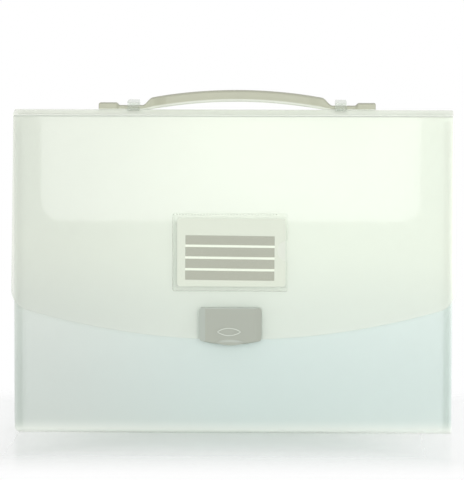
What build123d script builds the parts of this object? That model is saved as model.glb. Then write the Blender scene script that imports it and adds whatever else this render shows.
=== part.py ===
from build123d import *
import os
from math import cos, pi, radians, sqrt, tan

# A carry case for papers: a creased plastic sheet with gusset sides, a hinged lid and front flap,
# a snap latch, a card pocket and a strap handle.
# Millimetres, +Z up, the front faces -Y. The origin is the middle of the bottom face.

# Case sheet
case_width = 335.0
case_depth = 38.0
case_height = 244.3
sheet = 1.0
bend_radius = 2.0
left_corner_radius = 4.5
right_corner_radius = 1.2
ear_width = 22.8
ear_corner_radius = 7.5
cutout_drop = 81.5
cutout_shift = -1.7
cutout_corner_radius = 15.0
crease_groove_width = 0.8
crease_groove_depth = 0.25
bottom_crease_height = 3.2

# Side gussets
gusset_sheet = 0.8
gusset_flange = 6.0
gusset_fold = 3.0
gusset_foot_fold = 0.3
gusset_bend = 1.6
gusset_top_gap = 3.0
side_inset = 0.3

# Front flap
flap_gap = 1.5
flap_drop = 172.2
flap_flare = 2.0
flap_side_overhang = 0.2
flap_edge_rise = 25.9
flap_corner_radius = 16.0
flap_crease_drop = 2.2

# Card pocket and card
pocket_width = 88.3
pocket_height = 60.0
pocket_drop = 75.1
pocket_shift = -2.2
pocket_film = 0.35
weld_width = 3.0
weld_thickness = 0.5
weld_corner_radius = 1.5
thumb_notch_radius = 8.0
thumb_notch_shift = 1.4
card_thickness = 0.4
card_margin = 0.5
card_end_inset = 1.5
card_corner_radius = 2.5

# Lid
lid_rise = 3.0

# Strap handle
handle_shift = 2.7
grip_half = 65.0
grip_width = 18.0
grip_top = 14.8
grip_thickness = 7.6
grip_arch_radius = 375.0
grip_top_fillet = 1.6
grip_bottom_fillet = 2.6
grip_taper = 12.0
strap_width = 12.0
strap_thickness = 2.8
neck_length = 8.0
neck_steps = 8
block_distance = 90.0
block_ramp = 3.0
block_length = 16.0
block_height = 5.1
block_width = 15.0
block_end_round = 1.0
block_edge_fillet = 0.9
strap_edge_fillet = 0.8

# Handle loops
loop_position = 79.3
loop_width = 9.0
loop_height = 7.6
loop_bar = 2.4
loop_leg = 2.6
loop_corner_radius = 3.0
loop_foot = 1.2
loop_foot_reach = 1.6
loop_retainer_thickness = 1.2
loop_retainer_rim = 2.0

# Latch
latch_width = 47.4
latch_height = 28.2
latch_overhang = 3.0
latch_bottom_rise = 3.0
latch_shift = -1.6
latch_depth = 6.7
latch_stand = 0.6
latch_wall = 1.4
latch_face = 1.5
latch_top_wall = 1.2
latch_corner_radius = 2.5
latch_bevel_width = 4.5
latch_bevel_depth = 1.0
latch_edge_fillet = 0.9
tab_width = 23.0
tab_height = 3.8
tab_end_rise = 1.8
tab_lip = 2.0
tab_proud = 0.9
tab_drop = 0.5
mark_width = 19.0
mark_height = 6.2
mark_rise = 10.2
mark_shift = -1.4
mark_rim = 0.7
mark_proud = 0.3
pivot_drop = 3.3
pivot_inset = 3.6
pivot_radius = 0.9
lug_radius = 1.75
lug_width = 2.3
base_thickness = 1.6
base_height = 8.1
base_drop = 6.3
rivet_radius = 1.5
rivet_spacing = 28.0
retainer_thickness = 0.9
retainer_width = 36.0
retainer_height = 8.0
hook_width = 16.0
hook_depth = 2.1
release_angle = 18.0

# Catch
catch_plate_width = 29.0
catch_plate_height = 11.0
catch_plate_thickness = 1.1
catch_plate_radius = 2.0
nose_width = 18.0
nose_height = 5.5
nose_length = 5.5
nose_fillet = 0.7
nose_rise = 2.8
catch_peg_radius = 1.3
catch_peg_spacing = 23.6
catch_retainer_thickness = 1.2
notch_clearance = 2.5
notch_headroom = 5.3

# Clearances
hinge_gap = 0.25
moving_gap = 0.3
pin_fit = 0.05

# Places worked out from the sizes above
front_y = -case_depth / 2
back_y = case_depth / 2
front_inner_y = front_y + sheet
back_inner_y = back_y - sheet
case_half = case_width / 2
lid_half = case_half + flap_side_overhang
lid_under_z = case_height - sheet
panel_top_z = lid_under_z - hinge_gap
crease_z = case_height - sheet / 2
rear_crease_y = back_y - sheet / 2
flap_inner_y = front_y - flap_gap
flap_outer_y = flap_inner_y - sheet
front_crease_y = flap_inner_y - sheet / 2
flap_bottom_z = case_height - flap_drop
cutout_half = case_half - ear_width
cutout_left = cutout_shift - cutout_half
cutout_right = cutout_shift + cutout_half
cutout_z = case_height - cutout_drop

lid_crest_z = case_height + lid_rise
lid_middle_y = (front_crease_y + rear_crease_y) / 2
lid_reach = (rear_crease_y - front_crease_y) / 2
lid_curve_radius = (lid_reach**2 + lid_rise**2) / (2 * lid_rise)
lid_curve_z = crease_z + lid_rise - lid_curve_radius
lid_outer_radius = lid_curve_radius + sheet / 2
lid_inner_radius = lid_curve_radius - sheet / 2

loop_half_depth = strap_width / 2 + moving_gap + loop_leg
loop_leg_y = strap_width / 2 + moving_gap + loop_leg / 2
loop_opening = loop_height - loop_bar
strap_top = moving_gap + strap_thickness

latch_bottom_z = flap_bottom_z - latch_overhang
latch_top_z = latch_bottom_z + latch_height
latch_back_y = flap_outer_y - latch_stand
latch_front_y = latch_back_y - latch_depth
latch_half = latch_width / 2
pivot_z = latch_top_z - pivot_drop
pivot_y = latch_front_y + pivot_inset
wall_inner_x = latch_half - latch_wall
lug_outer_x = wall_inner_x - moving_gap
base_top_z = latch_top_z - base_drop
base_bottom_z = base_top_z - base_height
rivet_z = base_top_z - base_height / 2
nose_bottom_z = latch_bottom_z + nose_rise
nose_top_z = nose_bottom_z + nose_height
nose_root_y = front_y - catch_plate_thickness
release_slope = tan(radians(release_angle))
notch_half = nose_width / 2 + notch_clearance
notch_top_z = nose_top_z + notch_headroom
catch_plate_z = nose_bottom_z + nose_height / 2
mark_x = latch_shift + mark_shift
mark_z = latch_bottom_z + mark_rise


def facing_front(y):
    """A sketch plane at depth y, seen from the front: local x is X and local y is Z."""
    return Plane.XZ.offset(-y)


def facing_side(x):
    """A sketch plane at width x, seen from the right: local x is Y and local y is Z."""
    return Plane.YZ.offset(x)


def above_lid(height):
    """Height above the crest of the lid's outer face, as Z."""
    return lid_crest_z + height


# Case body: front panel, bottom and back panel, one sheet with rounded bends

with BuildPart() as case_body:
    with BuildSketch(facing_side(-case_half)):
        with BuildLine():
            FilletPolyline(
                (front_y, panel_top_z),
                (front_y, 0),
                (back_y, 0),
                (back_y, panel_top_z),
                radius=bend_radius + sheet,
            )
            FilletPolyline(
                (front_inner_y, panel_top_z),
                (front_inner_y, sheet),
                (back_inner_y, sheet),
                (back_inner_y, panel_top_z),
                radius=bend_radius,
            )
            Line((front_y, panel_top_z), (front_inner_y, panel_top_z))
            Line((back_y, panel_top_z), (back_inner_y, panel_top_z))
        make_face()
    extrude(amount=case_width)
    # Access cut-out between the two ears of the front panel
    with BuildSketch(facing_front(front_inner_y)):
        with BuildLine():
            FilletPolyline(
                (cutout_left - 2 * ear_corner_radius, panel_top_z),
                (cutout_left, panel_top_z),
                (cutout_left, cutout_z),
                (cutout_right, cutout_z),
                (cutout_right, panel_top_z),
                (cutout_right + 2 * ear_corner_radius, panel_top_z),
                radius=[ear_corner_radius, cutout_corner_radius, cutout_corner_radius, ear_corner_radius],
            )
            Polyline(
                (cutout_right + 2 * ear_corner_radius, panel_top_z),
                (cutout_right + 2 * ear_corner_radius, case_height),
                (cutout_left - 2 * ear_corner_radius, case_height),
                (cutout_left - 2 * ear_corner_radius, panel_top_z),
            )
        make_face()
    extrude(amount=sheet, mode=Mode.SUBTRACT)
    # Scored creases beside the two bottom bends
    for face_y, direction in ((front_y, -1), (back_y, 1)):
        with BuildSketch(facing_front(face_y)):
            with Locations((0, bottom_crease_height + crease_groove_width / 2)):
                Rectangle(case_width, crease_groove_width)
        extrude(amount=direction * crease_groove_depth, mode=Mode.SUBTRACT)
    # Holes for the pegs of the catch
    with BuildSketch(facing_front(front_inner_y)):
        with Locations((latch_shift, catch_plate_z)):
            with GridLocations(catch_peg_spacing, 0, 2, 1):
                Circle(catch_peg_radius + pin_fit)
    extrude(amount=sheet, mode=Mode.SUBTRACT)
    # Rounded lower corners of the die-cut blank
    with BuildSketch(facing_front(back_y)) as blank:
        with Locations((0, case_height / 2)):
            Rectangle(case_width, case_height)
        left_corner, right_corner = blank.vertices().group_by(Axis.Y)[0].sort_by(Axis.X)
        fillet(left_corner, left_corner_radius)
        fillet(right_corner, right_corner_radius)
    extrude(amount=case_depth, mode=Mode.INTERSECT)
case_body.part.label = "case_body"


# Side gussets: a channel with front and back flanges, folded in along its middle towards the top,
# and a rounded bend to its bottom flange

gusset_face_x = -case_half + side_inset
gusset_bottom_bend = left_corner_radius - sheet
gusset_foot_z = sheet + gusset_bottom_bend
gusset_top_z = panel_top_z - gusset_top_gap


def gusset_outline(fold):
    """The closed outline of the channel, whose web is folded inward by the given depth."""
    outer = gusset_face_x
    inner = gusset_face_x + gusset_sheet
    flange_end = gusset_face_x + gusset_flange
    bend_x = gusset_face_x + gusset_bend
    front_bend_y = front_inner_y + gusset_bend
    back_bend_y = back_inner_y - gusset_bend
    inner_bend = gusset_bend - gusset_sheet
    Line((flange_end, front_inner_y), (bend_x, front_inner_y))
    CenterArc((bend_x, front_bend_y), gusset_bend, 180, 90)
    Polyline((outer, front_bend_y), (outer + fold, 0), (outer, back_bend_y))
    CenterArc((bend_x, back_bend_y), gusset_bend, 90, 90)
    Polyline(
        (bend_x, back_inner_y),
        (flange_end, back_inner_y),
        (flange_end, back_inner_y - gusset_sheet),
        (bend_x, back_inner_y - gusset_sheet),
    )
    CenterArc((bend_x, back_bend_y), inner_bend, 90, 90)
    Polyline((inner, back_bend_y), (inner + fold, 0), (inner, front_bend_y))
    CenterArc((bend_x, front_bend_y), inner_bend, 180, 90)
    Polyline(
        (bend_x, front_inner_y + gusset_sheet),
        (flange_end, front_inner_y + gusset_sheet),
        (flange_end, front_inner_y),
    )


with BuildPart() as left_gusset:
    with BuildSketch(Plane.XY.offset(gusset_foot_z)):
        with BuildLine():
            gusset_outline(gusset_foot_fold)
        make_face()
    with BuildSketch(Plane.XY.offset(gusset_top_z)):
        with BuildLine():
            gusset_outline(gusset_fold)
        make_face()
    loft(ruled=True)
    with BuildSketch(facing_front(back_inner_y)):
        with BuildLine():
            FilletPolyline(
                (gusset_face_x, gusset_foot_z + gusset_sheet),
                (gusset_face_x, sheet),
                (gusset_face_x + gusset_flange, sheet),
                radius=gusset_bottom_bend,
            )
            FilletPolyline(
                (gusset_face_x + gusset_sheet, gusset_foot_z + gusset_sheet),
                (gusset_face_x + gusset_sheet, sheet + gusset_sheet),
                (gusset_face_x + gusset_flange, sheet + gusset_sheet),
                radius=gusset_bottom_bend - gusset_sheet,
            )
            Line(
                (gusset_face_x, gusset_foot_z + gusset_sheet),
                (gusset_face_x + gusset_sheet, gusset_foot_z + gusset_sheet),
            )
            Line(
                (gusset_face_x + gusset_flange, sheet),
                (gusset_face_x + gusset_flange, sheet + gusset_sheet),
            )
        make_face()
    extrude(amount=back_inner_y - front_inner_y)
    # Trimmed to the inside of the bent case sheet
    with BuildSketch(facing_side(gusset_face_x)) as cavity:
        with Locations((0, (sheet + panel_top_z) / 2)):
            Rectangle(back_inner_y - front_inner_y, panel_top_z - sheet)
        fillet(cavity.vertices().group_by(Axis.Y)[0], bend_radius)
    extrude(amount=gusset_flange, mode=Mode.INTERSECT)
left_gusset.part.label = "left_gusset"

with BuildPart() as right_gusset:
    mirror(left_gusset.part, about=Plane.YZ)
right_gusset.part.label = "right_gusset"


# Catch: a plate on the front panel with a drafted nose that the latch cover snaps under

with BuildPart() as catch:
    with BuildSketch(facing_front(front_y)):
        with Locations((latch_shift, catch_plate_z)):
            RectangleRounded(catch_plate_width, catch_plate_height, catch_plate_radius)
    extrude(amount=catch_plate_thickness)
    with BuildSketch(facing_side(latch_shift - nose_width / 2)) as nose:
        tip_y = nose_root_y - nose_length
        tip_bottom_z = nose_bottom_z + nose_length * release_slope
        with BuildLine():
            Polyline(
                (nose_root_y, nose_bottom_z),
                (nose_root_y, nose_top_z),
                (tip_y, nose_top_z - nose_fillet),
                (tip_y, tip_bottom_z),
                close=True,
            )
        make_face()
        fillet(nose.vertices().group_by(Axis.X)[0], nose_fillet)
    extrude(amount=nose_width)
    with BuildSketch(facing_front(front_y)):
        with Locations((latch_shift, catch_plate_z)):
            with GridLocations(catch_peg_spacing, 0, 2, 1):
                Circle(catch_peg_radius)
    extrude(amount=-(sheet + catch_retainer_thickness))
catch.part.label = "catch"

with BuildPart() as catch_retainer:
    with BuildSketch(facing_front(front_inner_y)):
        with Locations((latch_shift, catch_plate_z)):
            RectangleRounded(catch_plate_width, catch_plate_height, catch_plate_radius)
            with GridLocations(catch_peg_spacing, 0, 2, 1):
                Circle(catch_peg_radius + pin_fit, mode=Mode.SUBTRACT)
    extrude(amount=-catch_retainer_thickness)
catch_retainer.part.label = "catch_retainer"


# Lid: the top panel, arched between its two creases, with round edges and slots for the handle loops

lid_curve = ThreePointArc(
    (front_crease_y, crease_z),
    (lid_middle_y, crease_z + lid_rise),
    (rear_crease_y, crease_z),
)
loop_places = [(handle_shift + side * loop_position, leg * loop_leg_y) for side in (-1, 1) for leg in (-1, 1)]

with BuildPart() as top_panel:
    with BuildSketch(facing_side(-lid_half)):
        SlotArc(lid_curve, sheet)
    extrude(amount=2 * lid_half)
    with BuildSketch(Plane.XY.offset(lid_under_z)):
        with Locations(*loop_places):
            Rectangle(loop_width - 2 * loop_foot + 2 * pin_fit, loop_leg - loop_foot + 2 * pin_fit)
    extrude(amount=lid_rise + sheet, mode=Mode.SUBTRACT)
top_panel.part.label = "top_panel"


def handle_loop(centre_x):
    """A clear staple over the strap: a rounded bar, two feet on the lid and two legs through it."""
    retainer_foot_z = lid_crest_z - sheet - loop_retainer_thickness
    with BuildPart() as loop:
        with BuildSketch(facing_side(centre_x - loop_width / 2)) as arch:
            with Locations((0, above_lid(loop_height / 2))):
                Rectangle(2 * loop_half_depth, loop_height)
            fillet(arch.vertices().group_by(Axis.Y)[-1], loop_corner_radius)
            with Locations((0, above_lid((loop_foot - lid_rise) / 2))):
                Rectangle(2 * (loop_half_depth + loop_foot_reach), loop_foot + lid_rise)
            with Locations((0, above_lid((loop_opening - lid_rise) / 2))):
                Rectangle(strap_width + 2 * moving_gap, loop_opening + lid_rise, mode=Mode.SUBTRACT)
            with Locations((lid_middle_y, lid_curve_z)):
                Circle(lid_outer_radius, mode=Mode.SUBTRACT)
        extrude(amount=loop_width)
        # Seen from the front: top corners rounded
        with BuildSketch(facing_front(loop_half_depth + loop_foot_reach)) as front_view:
            with Locations((centre_x, lid_crest_z + (loop_height - lid_rise) / 2)):
                Rectangle(loop_width, loop_height + lid_rise)
            fillet(front_view.vertices().group_by(Axis.Y)[-1], loop_foot)
        extrude(amount=2 * (loop_half_depth + loop_foot_reach), mode=Mode.INTERSECT)
        with BuildSketch(Plane.XY.offset(retainer_foot_z)):
            with Locations((centre_x, -loop_leg_y), (centre_x, loop_leg_y)):
                Rectangle(loop_width - 2 * loop_foot, loop_leg - loop_foot)
        extrude(amount=lid_crest_z + moving_gap - retainer_foot_z)
    return loop


def loop_retainer(centre_x):
    """The curved plate under the lid that holds the two legs of a loop."""
    with BuildPart() as plate:
        with BuildSketch(facing_side(centre_x - (loop_width + loop_retainer_rim) / 2)):
            with Locations((lid_middle_y, lid_curve_z)):
                Circle(lid_inner_radius)
                Circle(lid_inner_radius - loop_retainer_thickness, mode=Mode.SUBTRACT)
            with Locations((0, lid_curve_z)):
                Rectangle(
                    2 * (loop_half_depth + loop_retainer_rim),
                    lid_inner_radius,
                    align=(Align.CENTER, Align.MIN),
                    mode=Mode.INTERSECT,
                )
        extrude(amount=loop_width + loop_retainer_rim)
        with BuildSketch(Plane.XY.offset(lid_under_z - loop_retainer_thickness)):
            with Locations((centre_x, -loop_leg_y), (centre_x, loop_leg_y)):
                Rectangle(loop_width - 2 * loop_foot + 2 * pin_fit, loop_leg - loop_foot + 2 * pin_fit)
        extrude(amount=lid_rise + sheet + loop_retainer_thickness, mode=Mode.SUBTRACT)
    return plate


left_handle_loop = handle_loop(handle_shift - loop_position)
left_handle_loop.part.label = "left_handle_loop"
right_handle_loop = handle_loop(handle_shift + loop_position)
right_handle_loop.part.label = "right_handle_loop"
left_loop_retainer = loop_retainer(handle_shift - loop_position)
left_loop_retainer.part.label = "left_loop_retainer"
right_loop_retainer = loop_retainer(handle_shift + loop_position)
right_loop_retainer.part.label = "right_loop_retainer"


# Strap handle: every stretch of it runs through sections that are rounded rectangles

def strap_section(x, width, low, high, low_fillet, high_fillet):
    """The section of the handle at width x, between two heights above the lid."""
    with BuildSketch(facing_side(x)) as section:
        with Locations((0, above_lid((low + high) / 2))):
            Rectangle(width, high - low)
        fillet(section.vertices().group_by(Axis.Y)[-1], high_fillet)
        fillet(section.vertices().group_by(Axis.Y)[0], low_fillet)
    return section.sketch


# Handle grip: a shallow arch of even thickness, narrowed to the strap at both ends

grip_bottom = grip_top - grip_thickness
grip_inner_radius = grip_arch_radius - grip_thickness
grip_end_top = grip_top - grip_arch_radius + sqrt(grip_arch_radius**2 - grip_half**2)
grip_end_bottom = grip_bottom - grip_inner_radius + sqrt(grip_inner_radius**2 - grip_half**2)
grip_end_slope = grip_half / sqrt(grip_arch_radius**2 - grip_half**2)

grip_stations = [side * share * grip_half for side, share in
                 [(-1, 1), (-1, 0.95), (-1, 0.9), (-1, 0.85), (-1, 0.8), (-1, 0.6), (-1, 0.4), (-1, 0.2),
                  (1, 0), (1, 0.2), (1, 0.4), (1, 0.6), (1, 0.8), (1, 0.85), (1, 0.9), (1, 0.95), (1, 1)]]


def grip_width_at(x):
    """The grip's width at a distance x from its middle, eased down to the strap over the taper."""
    along_taper = max(0, abs(x) - (grip_half - grip_taper)) / grip_taper
    return grip_width - (grip_width - strap_width) * (1 - cos(pi * along_taper)) / 2


def grip_section(x):
    """The grip's section at a distance x from its middle."""
    top_z = grip_top - grip_arch_radius + sqrt(grip_arch_radius**2 - x**2)
    bottom_z = grip_bottom - grip_inner_radius + sqrt(grip_inner_radius**2 - x**2)
    return strap_section(
        handle_shift + x, grip_width_at(x), bottom_z, top_z, grip_bottom_fillet, grip_top_fillet
    )


with BuildPart() as handle_grip:
    loft([grip_section(x) for x in grip_stations], ruled=True)
handle_grip.part.label = "handle_grip"


def neck_height(share, strap_z, grip_z):
    """A height between the strap and the grip, flat at the strap and sloping like the grip at its end."""
    ease = share**2 * (3 - 2 * share)
    return strap_z + (grip_z - strap_z) * ease + (share**3 - share**2) * grip_end_slope * neck_length


def neck_section(side, share):
    """The neck's section at a share of the way from the strap to the grip."""
    return strap_section(
        handle_shift + side * (grip_half + neck_length * (1 - share)),
        strap_width,
        neck_height(share, moving_gap, grip_end_bottom),
        neck_height(share, strap_top, grip_end_top),
        strap_edge_fillet + (grip_bottom_fillet - strap_edge_fillet) * share,
        strap_edge_fillet + (grip_top_fillet - strap_edge_fillet) * share,
    )


def handle_neck(side):
    """The flexible stretch of the strap that climbs from the loop to the end of the grip."""
    with BuildPart() as neck:
        loft([neck_section(side, step / neck_steps) for step in range(neck_steps + 1)], ruled=True)
    return neck


def handle_end(side):
    """The flat strap that slides under the loop, and the thick stop block at its end."""
    stations = [
        (grip_half + neck_length, strap_width, strap_top, strap_edge_fillet),
        (block_distance, strap_width, strap_top, strap_edge_fillet),
        (block_distance + block_ramp, block_width, block_height, block_edge_fillet),
        (block_distance + block_length - block_end_round, block_width, block_height, block_edge_fillet),
        (
            block_distance + block_length,
            block_width - block_end_round,
            block_height - block_end_round / 2,
            block_edge_fillet,
        ),
    ]
    with BuildPart() as end:
        loft(
            [
                strap_section(handle_shift + side * distance, width, moving_gap, height, edge, edge)
                for distance, width, height, edge in stations
            ],
            ruled=True,
        )
    return end


handle_left_neck = handle_neck(-1)
handle_left_neck.part.label = "handle_left_neck"
handle_right_neck = handle_neck(1)
handle_right_neck.part.label = "handle_right_neck"
handle_left_end = handle_end(-1)
handle_left_end.part.label = "handle_left_end"
handle_right_end = handle_end(1)
handle_right_end.part.label = "handle_right_end"


# Front flap: hangs from the front crease, flares a little and ends in a long curve

flap_half = lid_half + flap_flare
flap_junction_z = flap_bottom_z + flap_edge_rise

with BuildPart() as front_flap:
    with BuildSketch(facing_front(flap_inner_y)) as outline:
        with BuildLine():
            Line((-lid_half, panel_top_z), (lid_half, panel_top_z))
            Line((lid_half, panel_top_z), (flap_half, flap_junction_z))
            ThreePointArc((flap_half, flap_junction_z), (0, flap_bottom_z), (-flap_half, flap_junction_z))
            Line((-flap_half, flap_junction_z), (-lid_half, panel_top_z))
        make_face()
        fillet(outline.vertices().group_by(Axis.Y)[0], flap_corner_radius)
        # Notch for the nose of the catch, hidden behind the latch cover
        with Locations((latch_shift, (notch_top_z + latch_bottom_z) / 2)):
            Rectangle(2 * notch_half, notch_top_z - latch_bottom_z, mode=Mode.SUBTRACT)
        with Locations((latch_shift, rivet_z)):
            with GridLocations(rivet_spacing, 0, 2, 1):
                Circle(rivet_radius + pin_fit, mode=Mode.SUBTRACT)
    extrude(amount=sheet)
    with BuildSketch(facing_front(flap_outer_y)):
        with Locations((0, case_height - flap_crease_drop)):
            Rectangle(2 * flap_half, crease_groove_width)
    extrude(amount=-crease_groove_depth, mode=Mode.SUBTRACT)
front_flap.part.label = "front_flap"


# Card pocket: clear film welded on three sides, raised over the card, open on the right

pocket_centre_z = case_height - pocket_drop - pocket_height / 2
pocket_right_x = pocket_shift + pocket_width / 2
card_room = card_thickness + 2 * moving_gap
raised_height = pocket_height - 2 * weld_width
raised_width = pocket_width - weld_width
cavity_height = raised_height - 2 * pocket_film
cavity_width = raised_width - pocket_film

with BuildPart() as card_pocket:
    with BuildSketch(facing_front(flap_outer_y)):
        with Locations((pocket_shift, pocket_centre_z)):
            RectangleRounded(pocket_width, pocket_height, weld_corner_radius)
    extrude(amount=weld_thickness)
    with BuildSketch(facing_front(flap_outer_y)):
        with Locations((pocket_right_x - raised_width / 2, pocket_centre_z)):
            Rectangle(raised_width, raised_height)
    extrude(amount=card_room + pocket_film)
    with BuildSketch(facing_front(flap_outer_y)):
        with Locations((pocket_right_x - cavity_width / 2, pocket_centre_z)):
            Rectangle(cavity_width, cavity_height)
    extrude(amount=card_room, mode=Mode.SUBTRACT)
    # Thumb notch in the open edge
    with BuildSketch(facing_front(flap_outer_y)):
        with Locations((pocket_right_x, pocket_centre_z + thumb_notch_shift)):
            Circle(thumb_notch_radius)
    extrude(amount=card_room + pocket_film, mode=Mode.SUBTRACT)
card_pocket.part.label = "card_pocket"

card_width = cavity_width - card_margin - card_end_inset
card_height = cavity_height - 2 * card_margin
card_left_x = pocket_right_x - cavity_width + card_margin

with BuildPart() as label_card:
    with BuildSketch(facing_front(flap_outer_y - moving_gap)):
        with Locations((card_left_x + card_width / 2, pocket_centre_z)):
            RectangleRounded(card_width, card_height, card_corner_radius)
    extrude(amount=card_thickness)
label_card.part.label = "label_card"


# Latch base: a plate on the flap with two hinge lugs, and pegs into a retainer behind the flap

with BuildPart() as latch_base:
    with BuildSketch(facing_front(flap_outer_y)):
        with Locations((latch_shift, rivet_z)):
            Rectangle(2 * lug_outer_x, base_height)
    extrude(amount=base_thickness)
    for side in (-1, 1):
        lug_x = latch_shift + side * (lug_outer_x - lug_width / 2)
        with BuildSketch(facing_side(lug_x - lug_width / 2)):
            with Locations((pivot_y, pivot_z)):
                Circle(lug_radius)
            with BuildLine():
                Polyline(
                    (flap_outer_y, base_top_z),
                    (pivot_y, pivot_z + lug_radius),
                    (pivot_y - lug_radius, pivot_z),
                    (flap_outer_y - base_thickness, base_bottom_z + lug_radius),
                    (flap_outer_y, base_bottom_z + lug_radius),
                    close=True,
                )
            make_face()
            with Locations((pivot_y, pivot_z)):
                Circle(pivot_radius + pin_fit, mode=Mode.SUBTRACT)
        extrude(amount=lug_width)
    with BuildSketch(facing_front(flap_outer_y)):
        with Locations((latch_shift, rivet_z)):
            with GridLocations(rivet_spacing, 0, 2, 1):
                Circle(rivet_radius)
    extrude(amount=-(sheet + retainer_thickness))
latch_base.part.label = "latch_base"

with BuildPart() as latch_retainer:
    with BuildSketch(facing_front(flap_inner_y)):
        with Locations((latch_shift, rivet_z)):
            RectangleRounded(retainer_width, retainer_height, rivet_radius)
            with GridLocations(rivet_spacing, 0, 2, 1):
                Circle(rivet_radius + pin_fit, mode=Mode.SUBTRACT)
    extrude(amount=-retainer_thickness)
latch_retainer.part.label = "latch_retainer"


# Latch lever: the shell that covers the latch, hinged at its top on stub pins

def latch_outline(inset, top_inset, floor_rise):
    """The cover seen from the front: square top, straight sides and a bottom that bulges down."""
    half = latch_half - inset
    top = latch_top_z - top_inset
    side_z = latch_bottom_z + latch_bottom_rise + floor_rise
    Line((latch_shift - half, top), (latch_shift + half, top))
    Line((latch_shift + half, top), (latch_shift + half, side_z))
    ThreePointArc(
        (latch_shift + half, side_z),
        (latch_shift, latch_bottom_z + floor_rise),
        (latch_shift - half, side_z),
    )
    Line((latch_shift - half, side_z), (latch_shift - half, top))


def tab_outline(crest):
    """The finger tab seen from the front, up to the given height above the bottom of the cover."""
    end_z = latch_bottom_z + tab_end_rise
    left_x = latch_shift - tab_width / 2
    right_x = latch_shift + tab_width / 2
    ThreePointArc((left_x, end_z), (latch_shift, latch_bottom_z - tab_drop), (right_x, end_z))
    ThreePointArc((right_x, end_z), (latch_shift, latch_bottom_z + crest), (left_x, end_z))


with BuildPart() as latch_lever:
    with BuildSketch(facing_front(latch_back_y)) as cover:
        with BuildLine():
            latch_outline(0, 0, 0)
        make_face()
        fillet(cover.vertices(), latch_corner_radius)
    extrude(amount=latch_depth)
    fillet(latch_lever.faces().sort_by(Axis.Y)[0].edges(), latch_edge_fillet)
    # Sloping bands down both sides of the face
    with BuildSketch(Plane.XY.offset(latch_bottom_z)):
        with BuildLine():
            Polyline(
                (latch_shift - latch_half, latch_back_y),
                (latch_shift - latch_half, latch_front_y + latch_bevel_depth),
                (latch_shift - latch_half + latch_bevel_width, latch_front_y),
                (latch_shift + latch_half - latch_bevel_width, latch_front_y),
                (latch_shift + latch_half, latch_front_y + latch_bevel_depth),
                (latch_shift + latch_half, latch_back_y),
                close=True,
            )
        make_face()
    extrude(amount=latch_height, mode=Mode.INTERSECT)
    # Hollow inside
    with BuildSketch(facing_front(latch_back_y)):
        with BuildLine():
            latch_outline(latch_wall, latch_top_wall, latch_wall)
        make_face()
    extrude(amount=latch_depth - latch_face, mode=Mode.SUBTRACT)
    # Round back of the top, which turns clear of the flap
    with BuildSketch(facing_side(latch_shift - latch_half)):
        with Locations((pivot_y, pivot_z)):
            Rectangle(latch_depth, latch_depth, align=(Align.MIN, Align.MIN))
            Circle(pivot_drop + pin_fit, mode=Mode.SUBTRACT)
    extrude(amount=latch_width, mode=Mode.SUBTRACT)
    # Stub pins that turn in the lugs
    for side in (-1, 1):
        pin_end_x = latch_shift + side * (lug_outer_x - lug_width)
        with BuildSketch(facing_side(pin_end_x)):
            with Locations((pivot_y, pivot_z)):
                Circle(pivot_radius)
        extrude(amount=side * (lug_width + moving_gap + latch_wall / 2))
    # Hook under the nose of the catch
    with BuildSketch(facing_side(latch_shift - hook_width / 2)):
        hook_back_z = nose_bottom_z + (nose_root_y - latch_back_y) * release_slope - moving_gap
        with BuildLine():
            Polyline(
                (latch_back_y, latch_bottom_z + latch_wall / 2),
                (latch_back_y, hook_back_z),
                (latch_back_y - hook_depth, hook_back_z + hook_depth * release_slope),
                (latch_back_y - hook_depth, latch_bottom_z + latch_wall / 2),
                close=True,
            )
        make_face()
    extrude(amount=hook_width)
    # Finger tab: a lip that slopes outward down to its lower edge
    with BuildSketch(facing_front(latch_front_y + latch_face)):
        with BuildLine():
            tab_outline(tab_height)
        make_face()
    extrude(amount=latch_face)
    for section_y, crest in ((latch_front_y, tab_height), (latch_front_y - tab_proud, tab_lip)):
        with BuildSketch(facing_front(section_y)):
            with BuildLine():
                tab_outline(crest)
            make_face()
    loft()
    # Lens-shaped thumb mark, a raised rim
    with BuildSketch(facing_front(latch_front_y)):
        for shrink, part_mode in ((0, Mode.ADD), (mark_rim, Mode.SUBTRACT)):
            half_width = mark_width / 2 - 2 * shrink
            half_height = mark_height / 2 - shrink
            with BuildLine():
                ThreePointArc(
                    (mark_x - half_width, mark_z),
                    (mark_x, mark_z + half_height),
                    (mark_x + half_width, mark_z),
                )
                ThreePointArc(
                    (mark_x + half_width, mark_z),
                    (mark_x, mark_z - half_height),
                    (mark_x - half_width, mark_z),
                )
            make_face(mode=part_mode)
    extrude(amount=mark_proud)
latch_lever.part.label = "latch_lever"


pieces = [
    case_body,
    left_gusset,
    right_gusset,
    catch,
    catch_retainer,
    top_panel,
    left_handle_loop,
    right_handle_loop,
    left_loop_retainer,
    right_loop_retainer,
    handle_grip,
    handle_left_neck,
    handle_right_neck,
    handle_left_end,
    handle_right_end,
    front_flap,
    card_pocket,
    label_card,
    latch_base,
    latch_retainer,
    latch_lever,
]

os.makedirs("parts", exist_ok=True)
for piece in pieces:
    export_step(piece.part, f"parts/{piece.part.label}.step")
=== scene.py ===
import math

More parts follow.
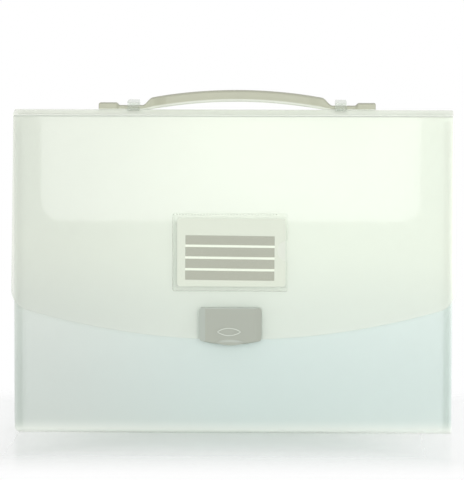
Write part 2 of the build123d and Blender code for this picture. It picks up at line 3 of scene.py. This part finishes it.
import bmesh
import bpy
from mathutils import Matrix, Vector


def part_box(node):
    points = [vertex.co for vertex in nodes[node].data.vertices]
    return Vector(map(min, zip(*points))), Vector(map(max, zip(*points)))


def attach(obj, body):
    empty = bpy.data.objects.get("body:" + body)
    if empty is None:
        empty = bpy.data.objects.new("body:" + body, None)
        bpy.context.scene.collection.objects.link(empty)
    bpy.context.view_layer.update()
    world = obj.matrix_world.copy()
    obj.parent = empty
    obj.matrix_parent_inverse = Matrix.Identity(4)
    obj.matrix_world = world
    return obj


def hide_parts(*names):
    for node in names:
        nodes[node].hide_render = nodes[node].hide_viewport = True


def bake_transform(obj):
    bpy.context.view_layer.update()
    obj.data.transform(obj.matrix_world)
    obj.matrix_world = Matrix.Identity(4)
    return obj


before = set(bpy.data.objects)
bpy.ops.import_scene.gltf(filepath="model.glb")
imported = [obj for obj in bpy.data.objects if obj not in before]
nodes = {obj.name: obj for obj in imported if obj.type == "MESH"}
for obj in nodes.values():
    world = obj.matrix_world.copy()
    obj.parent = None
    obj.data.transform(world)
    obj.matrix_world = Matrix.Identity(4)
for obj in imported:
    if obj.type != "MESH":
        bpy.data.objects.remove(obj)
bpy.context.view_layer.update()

MM = 0.001
scene = bpy.context.scene

# Places read from the frame

panel_low, panel_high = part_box("top_panel")
body_low, body_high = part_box("case_body")
grip_low, grip_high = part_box("handle_grip")
end_low, end_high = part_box("handle_left_end")
card_low, card_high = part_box("label_card")
latch_low, latch_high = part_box("latch_lever")
pocket_low, pocket_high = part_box("card_pocket")
flap_front_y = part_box("front_flap")[0].y
handle_x = (grip_low.x + grip_high.x) / 2
sheet = 1.0 * MM
crease_z = panel_low.z + sheet / 2


# Small helpers for meshes

def join_rings(made, near, far):
    """Adds the band of faces between two rings that have as many points."""
    count = len(near)
    for k in range(count):
        after = (k + 1) % count
        made.faces.new((near[k], near[after], far[after], far[k]))


def close_ends(made, rings):
    """Adds a face over the first ring and one over the last."""
    made.faces.new(rings[0][::-1])
    made.faces.new(rings[-1])


def finished_object(name, made):
    """Turns a bmesh into an object of the scene."""
    mesh = bpy.data.meshes.new(name)
    made.to_mesh(mesh)
    made.free()
    piece = bpy.data.objects.new(name, mesh)
    scene.collection.objects.link(piece)
    return piece


def skin_sections(name, sections):
    """A closed skin over sections, each with as many points round its outline."""
    made = bmesh.new()
    rings = [[made.verts.new(point) for point in section] for section in sections]
    for near, far in zip(rings, rings[1:]):
        join_rings(made, near, far)
    close_ends(made, rings)
    bmesh.ops.recalc_face_normals(made, faces=made.faces)
    return finished_object(name, made)


def smooth(piece, angle):
    """Smooth shading, apart from edges sharper than the angle in degrees."""
    for face in piece.data.polygons:
        face.use_smooth = True
    piece.data.set_sharp_from_angle(angle=math.radians(angle))


def rounded_section(x, half_width, low, high, low_radius, high_radius, steps=5):
    """Points round a rounded rectangle in the plane at x, which is 2 * half_width wide in Y."""
    points = []
    corners = [
        (half_width - high_radius, high - high_radius, high_radius, 0),
        (-half_width + high_radius, high - high_radius, high_radius, 90),
        (-half_width + low_radius, low + low_radius, low_radius, 180),
        (half_width - low_radius, low + low_radius, low_radius, 270),
    ]
    for centre_y, centre_z, radius, start in corners:
        for k in range(steps + 1):
            turn = math.radians(start + 90 * k / steps)
            points.append((x, centre_y + radius * math.cos(turn), centre_z + radius * math.sin(turn)))
    return points


def eased(share):
    """0 to 1 with a flat start and end."""
    share = min(1, max(0, share))
    return share * share * (3 - 2 * share)


# Helpers for node trees

class Nodes:
    """A node tree that is built up line by line."""

    def __init__(self, tree):
        self.tree = tree
        self.tree.nodes.clear()

    def node(self, kind, **settings):
        made = self.tree.nodes.new(kind)
        for key, value in settings.items():
            setattr(made, key, value)
        return made

    def link(self, start, end):
        self.tree.links.new(start, end)

    def maths(self, operation, *values):
        """A Math node's result, from numbers and other nodes' outputs."""
        made = self.node("ShaderNodeMath", operation=operation)
        for socket, value in zip(made.inputs, values):
            if isinstance(value, float):
                socket.default_value = value
            else:
                self.link(value, socket)
        return made.outputs[0]

    def mix(self, share, first, second):
        """The first shader, with a share of it replaced by the second."""
        made = self.node("ShaderNodeMixShader")
        if isinstance(share, float):
            made.inputs[0].default_value = share
        else:
            self.link(share, made.inputs[0])
        self.link(first, made.inputs[1])
        self.link(second, made.inputs[2])
        return made.outputs["Shader"]


class Finish(Nodes):
    """A material's node tree."""

    def __init__(self, name):
        self.material = bpy.data.materials.new(name)
        self.material.use_nodes = True
        super().__init__(self.material.node_tree)
        self.output = self.node("ShaderNodeOutputMaterial")
        self.place = self.node("ShaderNodeTexCoord").outputs["Object"]

    def part(self, vector, axis):
        """The X, Y or Z of a vector."""
        split = self.node("ShaderNodeSeparateXYZ")
        self.link(vector, split.inputs["Vector"])
        return split.outputs[axis]

    def soft_ramp(self, value, start, end):
        """0 at start to 1 at end, with a flat start and end."""
        ramp = self.node("ShaderNodeMapRange", interpolation_type="SMOOTHSTEP")
        ramp.inputs["From Min"].default_value = start
        ramp.inputs["From Max"].default_value = end
        self.link(value, ramp.inputs["Value"])
        return ramp.outputs["Result"]

    def along(self, axis, start, end):
        """0 at start to 1 at end along X, Y or Z of the object, in metres."""
        return self.soft_ramp(self.part(self.place, axis), start, end)

    def facing(self, axis, start, end):
        """0 where the normal's X, Y or Z is start, to 1 where it is end."""
        normal = self.node("ShaderNodeNewGeometry").outputs["Normal"]
        return self.soft_ramp(self.part(normal, axis), start, end)

    def remap(self, value, low, high):
        """A 0 to 1 value spread from low to high."""
        ramp = self.node("ShaderNodeMapRange")
        ramp.inputs["To Min"].default_value = low
        ramp.inputs["To Max"].default_value = high
        self.link(value, ramp.inputs["Value"])
        return ramp.outputs["Result"]

    def noise(self, scale, detail=2, roughness=0.5, stretch=None):
        """Noise over the object, squeezed along its axes if asked."""
        made = self.node("ShaderNodeTexNoise")
        made.inputs["Scale"].default_value = scale
        made.inputs["Detail"].default_value = detail
        made.inputs["Roughness"].default_value = roughness
        place = self.place
        if stretch is not None:
            mapping = self.node("ShaderNodeMapping")
            mapping.inputs["Scale"].default_value = stretch
            self.link(self.place, mapping.inputs["Vector"])
            place = mapping.outputs["Vector"]
        self.link(place, made.inputs["Vector"])
        return made.outputs["Fac"]

    def blend_colours(self, share, first, second):
        """A colour between two, each a colour or another node's output."""
        made = self.node("ShaderNodeMix", data_type="RGBA")
        self.link(share, made.inputs[0])
        for socket, value in ((made.inputs[6], first), (made.inputs[7], second)):
            if isinstance(value, tuple):
                socket.default_value = (*value, 1)
            else:
                self.link(value, socket)
        return made.outputs[2]

    def multiplied(self, colour, multiplier):
        """A node's colour times a fixed one."""
        made = self.node("ShaderNodeMix", data_type="RGBA", blend_type="MULTIPLY")
        made.inputs[0].default_value = 1.0
        self.link(colour, made.inputs[6])
        made.inputs[7].default_value = (*multiplier, 1)
        return made.outputs[2]

    def bump(self, height, strength, distance):
        """A normal that follows small heights."""
        made = self.node("ShaderNodeBump")
        made.inputs["Strength"].default_value = strength
        made.inputs["Distance"].default_value = distance
        self.link(height, made.inputs["Height"])
        return made.outputs["Normal"]

    def plastic(self, colour, roughness, normal=None, specular=0.5):
        """A Principled shader with colour and roughness from values or nodes."""
        made = self.node("ShaderNodeBsdfPrincipled")
        made.inputs["Specular IOR Level"].default_value = specular
        for name, value in (("Base Color", colour), ("Roughness", roughness)):
            if isinstance(value, tuple):
                made.inputs[name].default_value = (*value, 1)
            elif isinstance(value, float):
                made.inputs[name].default_value = value
            else:
                self.link(value, made.inputs[name])
        if normal is not None:
            self.link(normal, made.inputs["Normal"])
        return made.outputs["BSDF"]

    def translucent(self, colour):
        """Light that is scattered through to the other side, in a node's colour."""
        made = self.node("ShaderNodeBsdfTranslucent")
        self.link(colour, made.inputs["Color"])
        return made.outputs["BSDF"]

    def clear(self, colour):
        """Light that passes straight through."""
        made = self.node("ShaderNodeBsdfTransparent")
        made.inputs["Color"].default_value = (*colour, 1)
        return made.outputs["BSDF"]

    def done(self, shader):
        """Links the shader to the output and gives the material."""
        self.link(shader, self.output.inputs["Surface"])
        return self.material


# Kinds of finish

def frosted_sheet(name, colour, cool_colour, through, glimpse, left_shade_colour=None, bottom_shade=None, bottom_highlight=None):
    """Milky polypropylene with a fine matt grain.

    through is the share of light that it scatters through, and glimpse the share that passes straight.
    The left colour is painted shade, the darker colour that its left end turns to. The bottom shade is
    (low, high, multiplier), painted shade in which the colour is multiplied from high down to low. The
    bottom highlight is (height, colour), a painted highlight: the paler strip at its bottom.
    """
    left_shade_start = -0.17
    left_shade_end = 0.02
    straight_tint = (0.97, 0.99, 0.97)
    make = Finish(name)
    grain = make.noise(2600, detail=3)
    cloud = make.noise(7)
    tint = make.blend_colours(make.remap(cloud, 0.25, 0.75), colour, cool_colour)
    # Painted shade: the left end turns to a darker colour, where less light falls on it.
    if left_shade_colour is not None:
        tint = make.blend_colours(make.along("X", left_shade_start, left_shade_end), left_shade_colour, tint)
    # Painted shade: the colour is darkened towards the bottom.
    if bottom_shade is not None:
        shade_low, shade_high, multiplier = bottom_shade
        shaded_tint = make.multiplied(tint, multiplier)
        tint = make.blend_colours(make.along("Z", shade_low, shade_high), shaded_tint, tint)
    # Painted highlight: a paler strip at the bottom.
    if bottom_highlight is not None:
        highlight_height, highlight_colour = bottom_highlight
        tint = make.blend_colours(make.along("Z", 0.0, highlight_height), highlight_colour, tint)
    shade = make.bump(grain, 0.12, 0.06 * MM)
    face = make.plastic(tint, make.remap(grain, 0.42, 0.56), shade, specular=0.35)
    milky = make.mix(through, face, make.translucent(tint))
    return make.done(make.mix(glimpse, milky, make.clear(straight_tint)))


def moulded_plastic(name, colour, deep_colour, through=0.0, lights=()):
    """Grey plastic with the fine spark-eroded texture of a moulded part.

    through is the share of light that it scatters through. The painted lights are (axis, start, end,
    colour): painted light, the paler colour of faces whose normal turns from start to end along the axis.
    """
    make = Finish(name)
    grain = make.noise(1700, detail=4, roughness=0.6)
    cloud = make.noise(40)
    tint = make.blend_colours(make.remap(cloud, 0.2, 0.8), colour, deep_colour)
    # Painted light: faces turned one way are painted a paler colour.
    for axis, start, end, light in lights:
        tint = make.blend_colours(make.facing(axis, start, end), tint, light)
    shade = make.bump(grain, 0.2, 0.08 * MM)
    face = make.plastic(tint, make.remap(grain, 0.38, 0.55), shade, specular=0.4)
    if through:
        face = make.mix(through, face, make.translucent(tint))
    return make.done(face)


def clear_plastic(name, colour, haze, tint):
    """Clear moulded plastic or film, see-through from straight ahead and milkier at a slant.

    colour is that of its surface, haze the surface's share from straight ahead, and tint the colour of
    what is seen through it.
    """
    slant_share = 0.85
    slant_power = 4.0
    make = Finish(name)
    ripple = make.noise(220)
    shade = make.bump(ripple, 0.25, 0.1 * MM)
    gloss = make.plastic(colour, make.remap(ripple, 0.08, 0.2), shade, specular=0.6)
    angle = make.node("ShaderNodeLayerWeight")
    angle.inputs["Blend"].default_value = 0.5
    slant = make.maths("POWER", angle.outputs["Facing"], slant_power)
    return make.done(make.mix(make.remap(slant, haze, slant_share), make.clear(tint), gloss))


def card_paper(name, paper, ink, bars, tilt):
    """Matt card with printed bars on a paler ground.

    bars are (left, right, low, high) in metres on the card's face, and tilt turns all of them.
    """
    mottle = tuple(0.96 * c for c in paper)
    ground_colour = tuple(min(0.9, 1.22 * c) for c in paper)
    left, right, lowest = bars[0][:3]
    highest = bars[-1][3]
    make = Finish(name)
    fibre = make.noise(900, detail=4, stretch=(1, 1, 3))
    spin = make.node("ShaderNodeVectorRotate", rotation_type="Y_AXIS")
    spin.inputs["Angle"].default_value = tilt
    spin.inputs["Center"].default_value = ((left + right) / 2, 0, (lowest + highest) / 2)
    make.link(make.place, spin.inputs["Vector"])
    across = make.part(spin.outputs["Vector"], "X")
    upward = make.part(spin.outputs["Vector"], "Z")

    def inside(from_x, to_x, from_z, to_z):
        """1 in a rectangle on the card's face, 0 elsewhere."""
        in_width = make.maths("COMPARE", across, (from_x + to_x) / 2, (to_x - from_x) / 2)
        in_height = make.maths("COMPARE", upward, (from_z + to_z) / 2, (to_z - from_z) / 2)
        return make.maths("MULTIPLY", in_width, in_height)

    printed = inside(*bars[0])
    for bar in bars[1:]:
        printed = make.maths("ADD", printed, inside(*bar))
    ground = inside(left, right, lowest, highest)
    tint = make.blend_colours(make.remap(fibre, 0.3, 0.7), paper, mottle)
    tint = make.blend_colours(ground, tint, ground_colour)
    tint = make.blend_colours(printed, tint, ink)
    shade = make.bump(fibre, 0.15, 0.03 * MM)
    return make.done(make.plastic(tint, 0.62, shade, specular=0.3))


# The finishes, as linear colours

# Painted shade on the flap: its colour turns darker towards its left end and towards its bottom edge.
flap_sheet = frosted_sheet(
    "flap sheet",
    colour=(0.97, 0.965, 0.9),
    cool_colour=(0.965, 0.96, 0.9),
    through=0.45,
    glimpse=0.5,
    left_shade_colour=(0.87, 0.875, 0.83),
    bottom_shade=(0.085, 0.15, (0.93, 0.935, 0.955)),
)
# Painted shade: the same milky sheet as the flap, painted darker and bluer, and darker still towards its
# left end and its bottom; a paler strip along its bottom fold is a painted highlight.
body_shaded_sheet = frosted_sheet(
    "body shaded sheet",
    colour=(0.82, 0.868, 0.853),
    cool_colour=(0.815, 0.868, 0.858),
    through=0.5,
    glimpse=0.34,
    left_shade_colour=(0.798, 0.818, 0.8),
    bottom_shade=(0.03, 0.12, (0.93, 0.94, 0.945)),
    bottom_highlight=(0.011, (0.96, 0.965, 0.94)),
)
# Painted shade: the same milky sheet as the flap, painted darker on the gussets.
side_shaded_sheet = frosted_sheet(
    "side shaded sheet",
    colour=(0.86, 0.885, 0.86),
    cool_colour=(0.855, 0.885, 0.86),
    through=0.5,
    glimpse=0.45,
)
top_sheet = frosted_sheet(
    "top sheet",
    colour=(0.985, 0.98, 0.93),
    cool_colour=(0.975, 0.98, 0.935),
    through=0.4,
    glimpse=0.42,
)
# Painted shade: a dark copy of the sheet for the crease webs, standing in for the shade in each crease.
crease_shade_sheet = frosted_sheet(
    "crease shade sheet",
    colour=(0.56, 0.6, 0.55),
    cool_colour=(0.54, 0.59, 0.55),
    through=0.2,
    glimpse=0.05,
)
handle_grey = moulded_plastic(
    "handle grey",
    colour=(0.465, 0.473, 0.37),
    deep_colour=(0.45, 0.463, 0.365),
    through=0.12,
    # Painted light: the faces that look down are painted paler, as if lit from the table below.
    lights=[("Z", -0.12, -0.5, (0.8, 0.82, 0.76))],
)
latch_grey = moulded_plastic(
    "latch grey",
    colour=(0.328, 0.348, 0.293),
    deep_colour=(0.32, 0.345, 0.3),
    # Painted sheen on the faces that look to the left, and painted light on the faces that look up.
    lights=[
        ("X", -0.08, -0.2, (0.375, 0.412, 0.367)),
        ("Z", 0.12, 0.42, (0.42, 0.455, 0.41)),
    ],
)
# Painted highlight: a paler grey for the thumb mark's rim, standing in for light caught on its raised edge.
mark_rim_highlight = moulded_plastic("mark rim highlight", (0.57, 0.61, 0.55), (0.54, 0.58, 0.52))
loop_clear = clear_plastic("loop clear", (0.66, 0.7, 0.64), haze=0.17, tint=(0.94, 0.95, 0.935))
pocket_film = clear_plastic("pocket film", (0.9, 0.92, 0.88), haze=0.03, tint=(0.995, 0.998, 0.99))
weld_film = clear_plastic("weld film", (0.75, 0.79, 0.72), haze=0.24, tint=(0.985, 0.99, 0.98))

bar_count = 4
bar_half_width = 34.1 * MM
bar_height = 7.2 * MM
bar_step = 9.0 * MM
bar_shift = -1.2 * MM
bar_rise = 4.8 * MM
bar_middle_x = (card_low.x + card_high.x) / 2 + bar_shift
first_bar_z = card_low.z + bar_rise
bar_places = [
    (
        bar_middle_x - bar_half_width,
        bar_middle_x + bar_half_width,
        first_bar_z + k * bar_step,
        first_bar_z + k * bar_step + bar_height,
    )
    for k in range(bar_count)
]
label_paper = card_paper(
    "card",
    paper=(0.635, 0.67, 0.595),
    ink=(0.365, 0.375, 0.318),
    bars=bar_places,
    tilt=math.radians(-0.56),
)

finishes = {
    "case_body": body_shaded_sheet,
    "left_gusset": side_shaded_sheet,
    "right_gusset": side_shaded_sheet,
    "top_panel": top_sheet,
    "front_flap": flap_sheet,
    "catch": latch_grey,
    "catch_retainer": latch_grey,
    "latch_base": latch_grey,
    "latch_retainer": latch_grey,
    "latch_lever": latch_grey,
    "left_handle_loop": loop_clear,
    "right_handle_loop": loop_clear,
    "left_loop_retainer": loop_clear,
    "right_loop_retainer": loop_clear,
    "card_pocket": pocket_film,
    "label_card": label_paper,
}
for node_name, finish in finishes.items():
    node = nodes[node_name]
    node.data.materials.clear()
    node.data.materials.append(finish)


# Handle: one moulded strap, whose two halves meet in the middle of the grip

grip_half = (grip_high.x - grip_low.x) / 2
grip_half_width = (grip_high.y - grip_low.y) / 2
grip_crest = grip_high.z
grip_thickness = 8.5 * MM
grip_arch_radius = 375.0 * MM
grip_inner_crest = grip_crest - grip_thickness
grip_inner_radius = grip_arch_radius - grip_thickness
grip_taper = 12.0 * MM
grip_low_edge = 3.0 * MM
grip_high_edge = 1.7 * MM
strap_thickness = 2.8 * MM
strap_low = end_low.z
strap_high = strap_low + strap_thickness
strap_half_width = 6.0 * MM
strap_edge = 0.8 * MM
neck_end = handle_x - end_high.x
neck_length = neck_end - grip_half
block_length = 16.0 * MM
block_out = handle_x - end_low.x
block_start = block_out - block_length
block_ramp = 3.0 * MM
block_half_width = (end_high.y - end_low.y) / 2
block_high = end_high.z
block_high_edge = 1.1 * MM
block_end_round = 1.0 * MM
block_end_shrink = 0.8 * MM


def arch_height(x, crest, radius):
    """Height of the arch at a distance x from the middle of the grip."""
    return crest - radius + math.sqrt(radius * radius - x * x)


def grip_section(x):
    """Half width, low, high, low edge's radius and high edge's radius along the grip."""
    share = eased((x - (grip_half - grip_taper)) / grip_taper)
    half_width = grip_half_width + (strap_half_width - grip_half_width) * share
    low = arch_height(x, grip_inner_crest, grip_inner_radius)
    high = arch_height(x, grip_crest, grip_arch_radius)
    return half_width, low, high, grip_low_edge, grip_high_edge


def neck_section(x):
    """The same along the neck, which climbs from the strap and meets the grip at the arch's slope."""
    share = (neck_end - x) / neck_length
    slope = grip_half / math.sqrt(grip_arch_radius ** 2 - grip_half ** 2)
    tip = (share ** 3 - share ** 2) * slope * neck_length
    grip_end_low = arch_height(grip_half, grip_inner_crest, grip_inner_radius)
    grip_end_high = arch_height(grip_half, grip_crest, grip_arch_radius)
    low = strap_low + (grip_end_low - strap_low) * eased(share) + tip
    high = strap_high + (grip_end_high - strap_high) * eased(share) + tip
    low_edge = strap_edge + (grip_low_edge - strap_edge) * share
    high_edge = strap_edge + (grip_high_edge - strap_edge) * share
    return strap_half_width, low, high, low_edge, high_edge


def block_section(x):
    """The same along the stop block, which swells from the strap and is rounded at its outer end."""
    share = eased((x - block_start) / block_ramp)
    last = max(0.0, x - (block_out - block_end_round)) / block_end_round
    shrink = block_end_shrink * (1 - math.sqrt(max(0.0, 1 - last * last)))
    half_width = strap_half_width + (block_half_width - strap_half_width) * share - shrink
    high = strap_high + (block_high - strap_high) * share - shrink
    return half_width, strap_low, high, strap_edge, block_high_edge


def handle_section(x):
    """The handle's section at a distance x from its middle."""
    if x <= grip_half:
        return grip_section(x)
    if x <= neck_end:
        return neck_section(x)
    if x <= block_start:
        return strap_half_width, strap_low, strap_high, strap_edge, strap_edge
    return block_section(x)


def handle_half(name, side):
    """Half of the handle, from the middle of the grip out to its end block."""
    grip_steps = 20
    grip_step = 2.5 * MM
    taper_steps = 15
    taper_step = 0.75 * MM
    neck_steps = 14
    flat_end_gap = 6.0 * MM
    ramp_steps = 8
    end_gaps = (2.0, 1.0, 0.6, 0.3, 0.1, 0.0)
    stops = [k * grip_step for k in range(grip_steps + 1)]
    stops += [grip_half - grip_taper + k * taper_step for k in range(taper_steps + 1)]
    stops += [grip_half + neck_length * k / neck_steps for k in range(neck_steps + 1)]
    stops += [block_start - flat_end_gap]
    stops += [block_start + block_ramp * k / ramp_steps for k in range(ramp_steps + 1)]
    stops += [block_out - gap * MM for gap in end_gaps]
    sections = [rounded_section(handle_x + side * x, *handle_section(x)) for x in sorted(stops)]
    piece = skin_sections(name, sections)
    smooth(piece, angle=50)
    piece.data.materials.append(handle_grey)
    return piece


left_handle = handle_half("strap_handle_left_half", -1)
right_handle = handle_half("strap_handle_right_half", 1)
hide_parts("handle_grip", "handle_left_neck", "handle_left_end")
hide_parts("handle_right_neck", "handle_right_end")
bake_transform(left_handle)
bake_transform(right_handle)


# Living hinges: the thin web of sheet left in each pressed crease, in a dark finish that is painted shade

web_thickness = 0.3 * MM
web_height = 1.2 * MM
web_end_gap = 0.6 * MM
web_steps = 12


def living_hinge(name, crease_y, half_width):
    """A web below the crease line."""
    front_y = crease_y - web_thickness / 2
    back_y = crease_y + web_thickness / 2
    sections = []
    for k in range(web_steps + 1):
        z = crease_z - web_height * k / web_steps
        sections.append([
            (-half_width, front_y, z),
            (half_width, front_y, z),
            (half_width, back_y, z),
            (-half_width, back_y, z),
        ])
    piece = skin_sections(name, sections)
    piece.data.materials.append(crease_shade_sheet)
    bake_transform(piece)


front_crease_y = flap_front_y + sheet / 2
rear_crease_y = body_high.y - sheet / 2
living_hinge("front_crease_web", front_crease_y, panel_high.x - web_end_gap)
living_hinge("rear_crease_web", rear_crease_y, body_high.x - web_end_gap)


# Fine ridges: the rim of the thumb mark, and the welds of the card pocket

BEAD_PROFILE = [(-0.5, 0.0), (-0.35, 0.75), (0.0, 1.0), (0.35, 0.75), (0.5, 0.0)]


def add_bead(made, path, width, base_y, crest_y, closed=False):
    """Adds a low rounded ridge that follows a path of (x, z) points on a face that looks to the front."""
    count = len(path)
    rings = []
    for k, (x, z) in enumerate(path):
        before = path[k - 1] if closed or k > 0 else path[k]
        after = path[(k + 1) % count] if closed or k < count - 1 else path[k]
        run_x = after[0] - before[0]
        run_z = after[1] - before[1]
        length = math.hypot(run_x, run_z)
        side_x = -run_z / length * width
        side_z = run_x / length * width
        rings.append([
            made.verts.new((x + side_x * across, base_y + (crest_y - base_y) * rise, z + side_z * across))
            for across, rise in BEAD_PROFILE
        ])
    for near, far in zip(rings, rings[1:]):
        join_rings(made, near, far)
    if closed:
        join_rings(made, rings[-1], rings[0])
    else:
        close_ends(made, rings)


def ridge_piece(name, made, finish, body):
    """Turns the ridges into a piece that rides on a body."""
    bmesh.ops.recalc_face_normals(made, faces=made.faces)
    piece = finished_object(name, made)
    smooth(piece, angle=60)
    piece.data.materials.append(finish)
    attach(piece, body)


# The thumb mark is a lens between two arcs

mark_shift = -1.0 * MM
mark_rise = 10.3 * MM
mark_x = (latch_low.x + latch_high.x) / 2 + mark_shift
mark_z = latch_low.z + mark_rise
mark_half_width = 8.9 * MM
mark_half_height = 2.8 * MM
mark_arc_radius = (mark_half_width ** 2 + mark_half_height ** 2) / (2 * mark_half_height)
mark_arc_turn = math.asin(mark_half_width / mark_arc_radius)
mark_arc_steps = 16
mark_bead_width = 0.8 * MM
mark_base_y = latch_low.y + 0.7 * MM
mark_crest_y = latch_low.y + 0.35 * MM
mark_path = []
for side in (1, -1):
    for k in range(mark_arc_steps):
        turn = side * mark_arc_turn * (2 * k / mark_arc_steps - 1)
        rise = mark_arc_radius * math.cos(turn) - mark_arc_radius + mark_half_height
        mark_path.append((mark_x + mark_arc_radius * math.sin(turn), mark_z + side * rise))
mark_ridge = bmesh.new()
add_bead(mark_ridge, mark_path, mark_bead_width, mark_base_y, mark_crest_y, closed=True)
# The rim's paler grey is a painted highlight.
ridge_piece("thumb_mark_rim", mark_ridge, mark_rim_highlight, "latch")

# The pocket's weld runs down its left side and along its bottom, and a row of dashes along its top

weld_base_y = flap_front_y - 0.3 * MM
weld_crest_y = flap_front_y - 0.5 * MM
weld_bead_width = 0.7 * MM
weld_inset = 0.5 * MM
weld_radius = 1.5 * MM
corner_inset = weld_inset + weld_radius
corner_steps = 6
corner_x = pocket_low.x + corner_inset
high_corner_z = pocket_high.z - corner_inset
low_corner_z = pocket_low.z + corner_inset
weld_path = []
for corner_z, start in ((high_corner_z, 90), (low_corner_z, 180)):
    for k in range(corner_steps + 1):
        turn = math.radians(start + 90 * k / corner_steps)
        weld_path.append((corner_x + weld_radius * math.cos(turn), corner_z + weld_radius * math.sin(turn)))
weld_path.append((pocket_high.x - weld_inset, pocket_low.z + weld_inset))
weld_ridge = bmesh.new()
add_bead(weld_ridge, weld_path, weld_bead_width, weld_base_y, weld_crest_y)

dash_count = 34
dash_step = 2.3 * MM
dash_length = 1.3 * MM
dash_width = 1.2 * MM
dash_inset = 3.0 * MM
dash_drop = 0.9 * MM
first_dash_x = pocket_low.x + dash_inset
dash_z = pocket_high.z - dash_drop
for k in range(dash_count):
    dash_x = first_dash_x + k * dash_step
    dash_path = [(dash_x, dash_z), (dash_x + dash_length, dash_z)]
    add_bead(weld_ridge, dash_path, dash_width, weld_base_y, weld_crest_y)
ridge_piece("pocket_welds", weld_ridge, weld_film, "flap")


# Floor, lamps and background

WHITE = (1, 1, 1, 1)
FILL_LEVEL = 0.74
FILL_LEAN = (0.06, 0.06, -0.05)
FILL_COLOUR = (1.0, 0.995, 0.985, 1)
# Partly painted shadow: the table is grey only round the object and turns clear further out, so a darker
# patch lies there besides the real shadow and reflection.
FLOOR_SHADOW_GREY = (0.74, 0.77, 0.76)
FLOOR_HALF_SIZE = 1.5
FLOOR_DROP = 0.02 * MM
# Each fade is (axis, middle, where it starts, where the floor ends), in metres; together they shape the
# grey patch round the object, which is partly painted shadow
FLOOR_SHADOW_FADES = [("X", -0.01, 0.04, 0.27), ("Y", 0.0, 0.03, 0.28)]
LAMP_AIM = (0, 0, 0.12)


def background_world():
    """White to the camera, to reflections and through clear surfaces, and a soft fill for the rest."""
    world = bpy.data.worlds.new("studio")
    scene.world = world
    world.use_nodes = True
    make = Nodes(world.node_tree)
    white = make.node("ShaderNodeBackground")
    white.inputs["Color"].default_value = WHITE
    white.inputs["Strength"].default_value = 1.0
    # The fill is a little stronger from one side than from the other
    direction = make.node("ShaderNodeTexCoord")
    lean = make.node("ShaderNodeVectorMath", operation="DOT_PRODUCT")
    lean.inputs[1].default_value = FILL_LEAN
    make.link(direction.outputs["Generated"], lean.inputs[0])
    fill = make.node("ShaderNodeBackground")
    fill.inputs["Color"].default_value = FILL_COLOUR
    make.link(make.maths("ADD", lean.outputs["Value"], FILL_LEVEL), fill.inputs["Strength"])
    ray = make.node("ShaderNodeLightPath")
    seen = make.maths("MAXIMUM", ray.outputs["Is Camera Ray"], ray.outputs["Is Glossy Ray"])
    seen = make.maths("MAXIMUM", seen, ray.outputs["Is Transmission Ray"])
    output = make.node("ShaderNodeOutputWorld")
    make.link(make.mix(seen, fill.outputs[0], white.outputs[0]), output.inputs["Surface"])


def soft_lamp(name, place, size, power):
    """A rectangular area lamp that faces the middle of the case."""
    data = bpy.data.lights.new(name, "AREA")
    data.shape = "RECTANGLE"
    data.size, data.size_y = size
    data.energy = power
    lamp = bpy.data.objects.new(name, data)
    scene.collection.objects.link(lamp)
    lamp.location = place
    lamp.rotation_mode = "QUATERNION"
    lamp.rotation_quaternion = (Vector(LAMP_AIM) - Vector(place)).to_track_quat("-Z", "Y")
    return lamp


def table_finish():
    """A grey patch with a soft sheen near the object, partly painted shadow, and clear further out, where
    the background shows.
    """
    make = Finish("table shadow patch")
    speck = make.noise(30)
    shader = make.plastic(FLOOR_SHADOW_GREY, make.remap(speck, 0.2, 0.24))
    shares = []
    for axis, middle, near, far in FLOOR_SHADOW_FADES:
        distance = make.maths("ABSOLUTE", make.maths("SUBTRACT", make.part(make.place, axis), middle))
        shares.append(make.soft_ramp(distance, near, far))
    away = make.maths("MAXIMUM", *shares)
    return make.done(make.mix(away, shader, make.clear((1, 1, 1))))


def studio_floor():
    """A flat table top under the object."""
    half = FLOOR_HALF_SIZE
    corner_places = [(-half, -half, 0), (half, -half, 0), (half, half, 0), (-half, half, 0)]
    made = bmesh.new()
    made.faces.new([made.verts.new(place) for place in corner_places])
    floor = finished_object("table", made)
    floor.location.z = -FLOOR_DROP
    floor.data.materials.append(table_finish())


background_world()
studio_floor()
soft_lamp("front softbox", (0.25, -2.6, 0.5), size=(2.0, 1.4), power=42.5)
rear_lamp = soft_lamp("rear softbox", (0.9, 2.0, 0.5), size=(2.0, 1.2), power=27)
rear_lamp.visible_glossy = False


# Camera at the photograph's viewing angle

FRAME_LONG_SIDE = 480
MM_PER_PIXEL = 0.7639
DISTANCE = 3.0
SENSOR = 36.0
ELEVATION = math.radians(4.5)
YAW = math.radians(1.5)
ROLL = math.radians(0.09)
LOOK_X = -0.7 * MM
LOOK_Z = 148.5 * MM
look_at = Vector((LOOK_X, body_low.y, LOOK_Z))
back = Vector((
    math.sin(YAW) * math.cos(ELEVATION),
    -math.cos(YAW) * math.cos(ELEVATION),
    math.sin(ELEVATION),
))
camera_data = bpy.data.cameras.new("camera")
camera_data.sensor_width = SENSOR
camera_data.sensor_fit = "AUTO"
camera_data.lens = SENSOR * DISTANCE / (FRAME_LONG_SIDE * MM_PER_PIXEL * MM)
camera_data.clip_start = 0.1
camera_data.clip_end = 50
camera = bpy.data.objects.new("camera", camera_data)
scene.collection.objects.link(camera)
camera.location = look_at + DISTANCE * back
camera.rotation_mode = "QUATERNION"
camera.rotation_quaternion = (-back).to_track_quat("-Z", "Y")
camera.rotation_mode = "XYZ"
camera.rotation_euler.rotate_axis("Z", ROLL)
scene.camera = camera

scene.view_settings.view_transform = "Standard"
